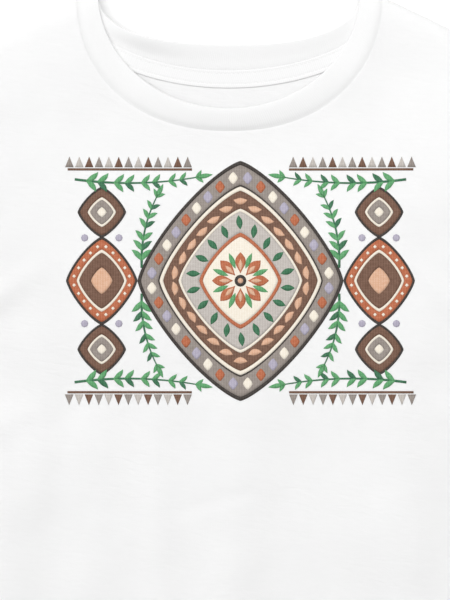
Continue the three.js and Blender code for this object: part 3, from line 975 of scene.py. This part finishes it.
def seam_thread(name, rows):
    """One piece for all the stitches of some rows, each row a path and its normals. The ends are closed."""
    points = np.concatenate([stitched(path, normals) for path, normals in rows])
    first = (np.arange(len(points)) * points.shape[1])[:, None, None]
    sides = (first + stitch_faces).reshape(-1, 4).tolist()
    last_ring = (len(STITCH_ALONG) - 1) * STITCH_SIDES
    ends = np.stack([np.arange(STITCH_SIDES)[::-1], last_ring + np.arange(STITCH_SIDES)])
    caps = (first + ends).reshape(-1, STITCH_SIDES).tolist()
    made = piece(name, points.reshape(-1, 3), sides + caps, thread)
    print(name, "has", len(points), "stitches")
    return made


# %% Material: cotton-wrapped sewing thread
thread, add = new_material("white_sewing_thread")
where = add("TexCoord").outputs["Object"]
twist = add("TexNoise", {"Vector": where, "Scale": 1 / (0.6 * MM), "Detail": 1.0})
shade = add("Mix", {0: twist, 6: linear("#dededd"), 7: linear("#ededec")}, data_type="RGBA").outputs[2]
bump = add("Bump", {"Height": twist, "Strength": 0.5, "Distance": 0.05 * MM})
look = {"Base Color": shade, "Roughness": 0.7, "Specular IOR Level": 0.35, "Normal": bump}
add("OutputMaterial", {"Surface": add("BsdfPrincipled", look)})


# %% Rows of stitches
def row_at(grid, from_edge, first_row):
    """A row of a hemmed grid at a distance from its edge, and its normals, between its two nearest rows."""
    normals = normals_of(grid)
    walk = first_row + np.interp(from_edge, HEM_STEPS[::-1], np.arange(len(HEM_STEPS)))
    low = int(walk)
    share = walk - low
    return mix(grid[low], grid[low + 1], share), mix(normals[low], normals[low + 1], share)


TWIN_ROWS = (17 * MM, 23 * MM)
for name, grids in (
    ("hem", (front_grid, back_grid)),
    ("cuff_left", (sleeve_left_grid,)),
    ("cuff_right", (sleeve_right_grid,)),
):
    rows = [row_at(grid, inset, OUTSIDE_ROW) for grid in grids for inset in TWIN_ROWS]
    seam_thread(f"{name}_stitches", rows)

tape_normals = normals_of(tape_grid)
tape_ways = [int(np.argmin(np.abs(tape_widths - TAPE_START - inset))) for inset in TAPE_SEAMS]
tape_rows = [(tape_grid[way], tape_normals[way]) for way in tape_ways]
tape_thread = seam_thread("neck_tape_stitches", tape_rows)

# %% [markdown]
# ## The print on the chest
#
# The chest is screen-printed: one colour of ink after another is pressed through a mesh and cured, and
# leaves a thin matt film that follows every fold. The pattern is a rug maker's, of lozenges, leaves,
# petals, dots and triangles. It could be painted into the cloth's own material, but its small shapes would
# need a huge tree of nodes. Here each colour is a film of its own, cut from patches. A patch is a flat grid
# with one parameter along it and one across, and a single function lays all of a colour's patches on the
# cloth at once.

# %% Patches, in millimetres from the middle of the print
PRINT_MIDDLE = np.array([8 * MM, HIGH_POINT_Y - 200 * MM])
PATCH_STEP = 2.5
PETAL_STEPS, TWIG_STEPS, LINE_STEPS = 9, 24, 30


def rounded(turn, middle, half, power):
    """A superellipse round a point: a lozenge with slightly full sides where power is just over 1."""
    way = towards(turn)
    return middle + np.sign(way) * np.abs(way) ** (2 / power) * half


def frame_between(middle, half, inner=0, outer=1, power=1.3):
    """The ring between two scales of a superellipse. An inner scale of 0 gives the whole shape."""
    middle, half = np.array(middle, float), np.array(half, float)
    steps = 4 * int(np.ceil(np.hypot(*half) * outer / PATCH_STEP))
    rows = 2 + int((outer - inner) * half.max() / PATCH_STEP)
    rim = rounded(np.linspace(0, 2 * np.pi, steps + 1), 0, half, power)
    return middle + np.linspace(outer, inner, rows)[:, None, None] * rim


def dot(middle, radius):
    """A round patch."""
    return frame_between(middle, (radius, radius), power=2.0)


def left_of(way):
    """A direction turned a quarter to the left."""
    return np.stack([-way[..., 1], way[..., 0]], -1)


def stroke(path, half_width):
    """A ribbon: each point of the path, moved across it by up to the half-width there on either side."""
    aside = left_of(unit(np.gradient(path, axis=0)))
    columns = np.linspace(-1, 1, 3 + 2 * int(half_width.max() / PATCH_STEP))
    return path[:, None] + columns[:, None] * (half_width[:, None] * aside)[:, None]


def bent_path(start, end, bend, steps):
    """A parabola from start to end that stands off the straight line by the bend."""
    start, end = np.array(start, float), np.array(end, float)
    share = np.linspace(0, 1, steps)[:, None]
    aside = left_of(end - start) / np.hypot(*(end - start))
    return mix(start, end, share) + bend * 4 * share * (1 - share) * aside


def petal(start, end, width, bend=0.0, tip=1.0):
    """A leaf or petal: half a sine wide, with its fullest place nearer the start where tip is over 1."""
    path = bent_path(start, end, bend, PETAL_STEPS)
    return stroke(path, width / 2 * np.sin(np.pi * np.linspace(0, 1, PETAL_STEPS) ** (1 / tip)))


def wedge(start, end, width):
    """A triangle with its base at the start."""
    return stroke(bent_path(start, end, 0, 4), width / 2 * np.linspace(1, 0, 4))


def spread_round(half, scale, count, power=1.3):
    """Places a like distance apart round a superellipse."""
    turn = np.linspace(0, 2 * np.pi, 721)
    half = np.array(half) * scale
    walk = lengths(rounded(turn, 0, half, power), 0)
    return rounded(np.interp((np.arange(count) + 0.5) / count * walk[-1], walk, turn), 0, half, power)


# %% Inks, each with its full colour and its thin one
INKS = {
    "black": ("#332e2b", "#4a4440"),
    "taupe": ("#867d77", "#9b928b"),
    "grey": ("#b1aaa4", "#c3bdb7"),
    "cream": ("#e6dccb", "#eee7da"),
    "brown": ("#64483a", "#7d5f4f"),
    "tan": ("#cf9f80", "#dcb59b"),
    "rust": ("#a95c3b", "#bd7455"),
    "green": ("#4e935c", "#6ca777"),
    "pine": ("#2e6444", "#4a7b5d"),
    "lilac": ("#a29cae", "#b5b0bf"),
}
patches_of = {name: [] for name in INKS}
print(len(INKS), "inks")

# %% The pattern
MEDALLION = (72, 84)


def ink_on(name, layer, patch):
    """Adds a patch to a colour. Each layer lies over the one before it."""
    patches_of[name].append((layer, patch))


def nested(middle, half, *bands):
    """Bands of colour inside each other, from the rim inwards, each given by its colour and outer scale."""
    inner_scales = [scale for _, scale in bands[1:]] + [0]
    for (name, outer), inner in zip(bands, inner_scales):
        ink_on(name, 0, frame_between(middle, half, inner, outer))


def medallion():
    """The large lozenge in the middle, with a wreath in each of its bands and a flower inside."""
    nested(
        (0, 0), MEDALLION,
        ("black", 1.0), ("taupe", 0.965), ("black", 0.8), ("cream", 0.785), ("brown", 0.75),
        ("cream", 0.6), ("grey", 0.575), ("rust", 0.4), ("cream", 0.365),
    )
    for count, place in enumerate(spread_round(MEDALLION, 0.882, 36)):
        ink_on(("cream", "rust", "lilac")[count % 3], 1, frame_between(place, (3.4, 4.4)))
    for place in spread_round(MEDALLION, 0.675, 26):
        along = 5 * left_of(unit(place))
        ink_on("tan", 1, petal(place - along, place + along, 4.6, 1.0))
    for place in spread_round(MEDALLION, 0.487, 18):
        out = unit(place)
        ink_on("pine", 1, petal(place - 5 * out, place + 5 * out + 1.5 * left_of(out), 4.4))
    for turn in np.arange(8) * np.pi / 4:
        way, half_way = towards(turn), towards(turn + np.pi / 8)
        ink_on("rust", 1, petal(5 * way, 20 * way, 7.5, tip=0.8))
        ink_on("green", 1, petal(9 * half_way, 21 * half_way, 3.6))
        ink_on("tan", 2, petal(7 * way, 15 * way, 3.0))
    ink_on("black", 2, dot((0, 0), 4.2))
    ink_on("tan", 3, dot((0, 0), 2))


def side_column(side):
    """Three lozenges above each other, with dots between them."""
    x = 97 * side
    nested((x, 0), (25, 31), ("black", 1.0), ("rust", 0.93), ("cream", 0.7), ("brown", 0.63), ("tan", 0.3))
    for y in (-48, 48):
        nested(
            (x, y), (17, 18),
            ("black", 1.0), ("brown", 0.9), ("cream", 0.58), ("taupe", 0.48), ("cream", 0.2),
        )
    for place in spread_round((25, 31), 0.815, 20):
        ink_on("cream", 1, dot(place + (x, 0), 1.3))
    for dot_x, dot_y in ((x - 12, 30), (x + 12, 30), (x - 12, -30), (x + 12, -30)):
        ink_on("lilac", 0, dot((dot_x, dot_y), 2.6))


def branch(start, end, bend, pairs, size):
    """A bent twig with pairs of leaves on it, shorter towards its end."""
    path = bent_path(start, end, bend, TWIG_STEPS)
    ink_on("pine", 0, stroke(path, np.linspace(0.9, 0.4, TWIG_STEPS)))
    way = unit(np.gradient(path, axis=0))
    aside = left_of(way)
    for count, row in enumerate(np.linspace(2, TWIG_STEPS - 2, pairs).astype(int)):
        long = size * (1 - 0.4 * row / TWIG_STEPS)
        for hand, name in ((1, "green"), (-1, "pine" if count % 2 else "green")):
            tip = path[row] + long * (0.75 * way[row] + 0.66 * hand * aside[row])
            ink_on(name, 1, petal(path[row], tip, long * 0.36, -hand * long * 0.1))
    ink_on("green", 1, petal(path[-2], path[-1] + 0.8 * size * way[-1], size * 0.3))


def border(level):
    """A row of triangles that point away from the medallion, over a line."""
    for side in (-1, 1):
        line = bent_path((34 * side, 78 * level), (121 * side, 78 * level), 0, LINE_STEPS)
        ink_on("brown", 0, stroke(line, np.full(LINE_STEPS, 0.8)))
        for count, x in enumerate(np.arange(37, 121, 6.9)):
            triangle = wedge((x * side, 79.5 * level), (x * side, 87 * level), 6.0)
            ink_on(("taupe", "brown", "grey")[count % 3], 0, triangle)


medallion()
for side in (-1, 1):
    side_column(side)
    for level in (-1, 1):
        branch((116 * side, 71 * level), (28 * side, 73 * level), 3.5 * side * level, 9, 11)
        branch((69 * side, 9 * level), (58 * side, 60 * level), -3.5 * side * level, 7, 11)
for level in (-1, 1):
    border(level)
print(sum(len(patches) for patches in patches_of.values()), "patches of ink")

# %% Material: screen-printing ink
def ink(name, full, thin):
    """Ink that lies full on the loops of the cloth and thin between them, where the white shows through."""
    material, add = new_material(name)
    place = add("UVMap", uv_map="cloth")
    wear = streaks(add, place, 3.5 * MM, 1.5 * MM, 3.0)
    high = add("Math", (knit(add, place), 0.45, wear), operation="MULTIPLY_ADD")
    bump = add("Bump", {"Height": high, "Strength": 0.4, "Distance": 0.08 * MM})
    finish(add, bump, high, (0.45, 1.0), (thin, full), wear, (0.66, 0.82), {"Specular IOR Level": 0.3})
    return material


# %% Films of ink
FILM = 0.05 * MM
FIRST_FILM = 0.16 * MM


def film_of_ink(name, layers):
    """All patches of one colour, laid on the front at a film's height for each layer."""
    plan = np.concatenate([patch.reshape(-1, 2) for _, patch in layers]) * MM + PRINT_MIDDLE
    sizes = np.array([patch.shape[0] * patch.shape[1] for _, patch in layers])
    above = np.repeat([FIRST_FILM + 1.5 * FILM * layer for layer, _ in layers], sizes)
    starts = np.cumsum(sizes) - sizes
    faces = []
    for first, (_, patch) in zip(starts, layers):
        row, column = corners_of(*patch.shape[:2])
        faces.append(first + row * patch.shape[1] + column)
    faces = np.concatenate(faces)
    way = plan[faces[:, 1:]] - plan[faces[:, :1]]
    uphill = np.cross(way[:, 0], way[:, 1]) + np.cross(way[:, 1], way[:, 2])
    faces = np.where(uphill[:, None] > 0, faces, faces[:, ::-1])
    vertices = np.column_stack([plan, front_height(*plan.T) + above])
    colour = ink(f"{name}_screen_print_ink", *INKS[name])
    made = piece(f"print_{name}", vertices, faces, colour, plan[faces])
    having(made.modifiers.new("joined", "WELD"), merge_threshold=0.01 * MM)
    having(made.modifiers.new("thickness", "SOLIDIFY"), thickness=FILM, offset=-1)
    print(made.name, "has", len(faces), "faces")
    return made


films = [film_of_ink(name, layers) for name, layers in patches_of.items()]
